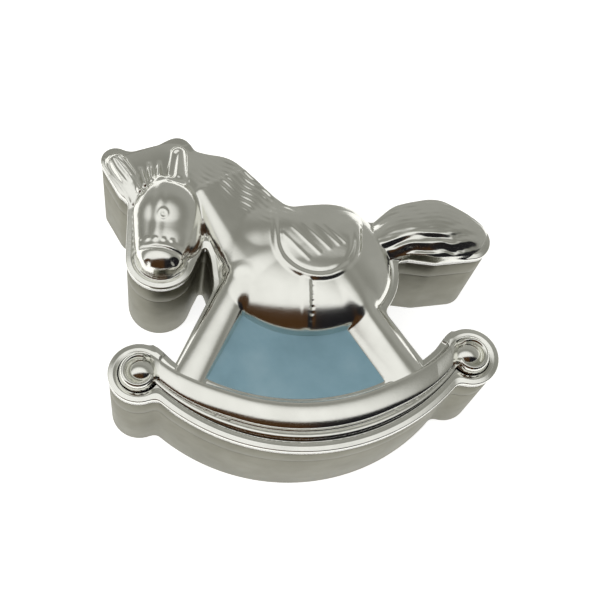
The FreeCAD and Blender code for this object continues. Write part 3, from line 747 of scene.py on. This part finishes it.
def eased_edge(level, way):
    """Three points of a profile that round an edge off, above a level or, for a way of -1, below it."""
    return [
        (0.0, level),
        (0.75 * EDGE_EASE, level + 0.25 * EDGE_EASE * way),
        (EDGE_EASE, level + EDGE_EASE * way),
    ]


def lid_skirt():
    """Skirt of the lid: a ring between the whole outline and the mouth, with its lower edge eased."""
    edge = Outline(whole_field(EDGE_EASE), WALL_STEP)
    mouth = Outline(hollow_field(MOUTH_INSET), WALL_STEP)
    shell = Shell()
    shell.flat(edge, PARTING, False, mouth)
    shell.wall(edge, eased_edge(PARTING, 1) + [(EDGE_EASE, RIM_LOW - 0.05), (0.0, RIM_LOW)])
    shell.wall(mouth, [(0.0, PARTING), (0.0, RIM_LOW)], inward=True)
    shell.flat(edge, RIM_LOW, True, mouth)
    shell.piece("lid_skirt", "lid", "lid_casting", painted_shade_satin)


def base_tray():
    """Base: foot, felt recess, outer wall, ledge, lip and tray, one closed shell."""
    edge = Outline(whole_field(EDGE_EASE), WALL_STEP)
    recess = Outline(whole_field(RECESS_INSET), WALL_STEP)
    lip = Outline(hollow_field(LIP_INSET), WALL_STEP)
    tray = Outline(hollow_field(TRAY_INSET), WALL_STEP)
    shell = Shell()
    shell.flat(edge, 0.0, False, recess)
    shell.wall(recess, [(0.0, 0.0), (0.0, FELT_TOP)], inward=True)
    shell.flat(recess, FELT_TOP, False)
    shell.wall(edge, eased_edge(0.0, 1) + eased_edge(PARTING, -1)[::-1])
    shell.flat(edge, PARTING, True, lip)
    shell.wall(lip, [(0.0, PARTING), (0.0, LIP_TOP)])
    shell.flat(lip, LIP_TOP, True, tray)
    shell.wall(tray, [(0.0, FLOOR_TOP), (0.0, LIP_TOP)], inward=True)
    shell.flat(tray, FLOOR_TOP, True)
    shell.piece("base_tray", "base", "base_casting", painted_shade_satin)


def slab(name, field, heights, body, node, material):
    """A flat piece, between a low and a high level, whose edges are eased."""
    low, high, ease = heights
    edge = Outline(field, WALL_STEP)
    shell = Shell()
    shell.flat(edge, low, False)
    shell.wall(edge, [(0.0, low), (ease, low + ease), (ease, high - ease), (0.0, high)])
    shell.flat(edge, high, True)
    return shell.piece(name, body, node, material)


def wall_lining():
    """Velvet on the wall: a ring between two insets of the hollow, up to the top of the lining."""
    outer = Outline(hollow_field(WALL_LINING_INSET), LINING_STEP)
    inner = Outline(hollow_field(WALL_LINING_FACE), LINING_STEP)
    shell = Shell()
    shell.flat(outer, FLOOR_TOP, False, inner)
    shell.wall(outer, [(0.0, FLOOR_TOP), (0.0, LINING_TOP)])
    shell.wall(inner, [(0.0, FLOOR_TOP), (0.0, LINING_TOP)], inward=True)
    shell.flat(outer, LINING_TOP, True, inner)
    return shell.piece("wall_lining", "base", "wall_velvet", blue_velvet)


lid_relief()
rocker_moulding()
scroll("front_scroll", -1)
scroll("rear_scroll", 1)
lid_skirt()
base_tray()
slab("enamel_fill", panel_field, (RIM_TOP - 0.75, RIM_TOP - 0.12, 0.04),
     "lid", "enamel_panel", blue_enamel)
floor_pad = slab("floor_pad", hollow_field(PAD_INSET), (PAD_LOW, PAD_TOP, 0.1),
                 "base", "floor_velvet", blue_velvet)
lid_lining = slab("lid_lining", hollow_field(LID_LINING_INSET), (LID_VELVET_LOW, LID_CARD_LOW, 0.05),
                  "lid", "lid_velvet", blue_velvet)
foot_felt = slab("foot_felt", whole_field(FELT_INSET), (0.0, FELT_TOP, 0.05),
                 "base", "underside_felt", grey_felt)
wall_lining()
for node in ("floor_card", "wall_card", "lid_card"):
    card_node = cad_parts[node]
    card_node.data.materials.clear()
    card_node.data.materials.append(lining_card)


# Floor, light and camera

def floor_material():
    """A pale floor that takes the box's shadow, and glows white for the camera and for reflections."""
    material, tree, shader = nodes_of("studio_floor")
    shader.inputs["Base Color"].default_value = (0.8, 0.8, 0.79, 1)
    shader.inputs["Roughness"].default_value = 0.9
    shader.inputs["Emission Color"].default_value = (1, 1, 1, 1)
    path = tree.nodes.new("ShaderNodeLightPath")
    seen = path.outputs["Is Camera Ray"]
    for ray in ("Is Glossy Ray", "Is Transmission Ray"):
        either = tree.nodes.new("ShaderNodeMath")
        either.operation = "MAXIMUM"
        tree.links.new(seen, either.inputs[0])
        tree.links.new(path.outputs[ray], either.inputs[1])
        seen = either.outputs["Value"]
    tree.links.new(spread(tree, seen, 0.0, 0.8), shader.inputs["Emission Strength"])
    return material


def studio_floor():
    """A wide square floor, a hair below the box."""
    half = 1.5
    level = -0.00002
    mesh = bpy.data.meshes.new("studio_floor")
    corners = [(x, y, level) for x, y in ((-half, -half), (half, -half), (half, half), (-half, half))]
    mesh.from_pydata(corners, [], [(0, 1, 2, 3)])
    mesh.materials.append(floor_material())
    floor = bpy.data.objects.new("studio_floor", mesh)
    bpy.context.scene.collection.objects.link(floor)


def overhead_lamp():
    """A square soft light above and to the left of the box, which its metal doesn't mirror."""
    place, aim = Vector((-0.20, -0.20, 0.5)), Vector((0, 0.01, 0.015))
    data = bpy.data.lights.new("overhead", "AREA")
    data.shape = "SQUARE"
    data.size = 0.4
    data.energy = 0.8
    lamp = bpy.data.objects.new("overhead", data)
    lamp.location = place
    lamp.rotation_mode = "QUATERNION"
    lamp.rotation_quaternion = (aim - place).to_track_quat("-Z", "Y")
    lamp.visible_glossy = False
    bpy.context.scene.collection.objects.link(lamp)


def studio_light():
    """A world of soft grey, with a wide light overhead to the left and a dark room in front."""
    world = bpy.data.worlds.new("studio")
    bpy.context.scene.world = world
    world.use_nodes = True
    tree = world.node_tree
    direction = tree.nodes.new("ShaderNodeTexCoord").outputs["Generated"]

    def towards(aim):
        """How far a direction points along an aim, as their dot product."""
        facing = tree.nodes.new("ShaderNodeVectorMath")
        facing.operation = "DOT_PRODUCT"
        facing.inputs[1].default_value = aim
        tree.links.new(direction, facing.inputs[0])
        return facing.outputs["Value"]

    greys = [(0.0, (0.36, 0.36, 0.335)), (0.25, (0.27, 0.27, 0.245)), (0.43, (0.26, 0.26, 0.235)),
             (0.48, (0.36, 0.36, 0.335)), (0.56, (0.78, 0.78, 0.76)), (0.68, (1, 1, 0.985))]
    darks = [(0.10, (0.06, 0.028, 0.010)), (0.18, (0.012, 0.012, 0.014))]
    front = [(0.31, (0, 0, 0)), (0.36, (1, 1, 1))]
    mix = tree.nodes.new("ShaderNodeMix")
    mix.data_type = "RGBA"
    tree.links.new(ramp(tree, towards((0, -1, 0)), front), mix.inputs["Factor"])
    tree.links.new(ramp(tree, towards((-0.35, -0.52, 0.78)), greys), mix.inputs["A"])
    tree.links.new(ramp(tree, towards((1, 0, 0)), darks), mix.inputs["B"])
    tree.links.new(mix.outputs["Result"], tree.nodes["Background"].inputs["Color"])


def photo_camera():
    """The camera, placed as in the photograph: its place in metres and its three turns in degrees."""
    data = bpy.data.cameras.new("camera")
    data.sensor_width = 36
    data.lens = 66.75
    data.clip_start = 0.01
    camera = bpy.data.objects.new("camera", data)
    place = Vector((-0.028091, -0.059167, 0.18896))
    turns = Euler([math.radians(angle) for angle in (23.243, -7.079, -5.534)])
    camera.matrix_world = Matrix.LocRotScale(place, turns, None)
    bpy.context.scene.collection.objects.link(camera)
    bpy.context.scene.camera = camera


studio_floor()
overhead_lamp()
studio_light()
photo_camera()
bpy.context.scene.view_settings.view_transform = "Standard"
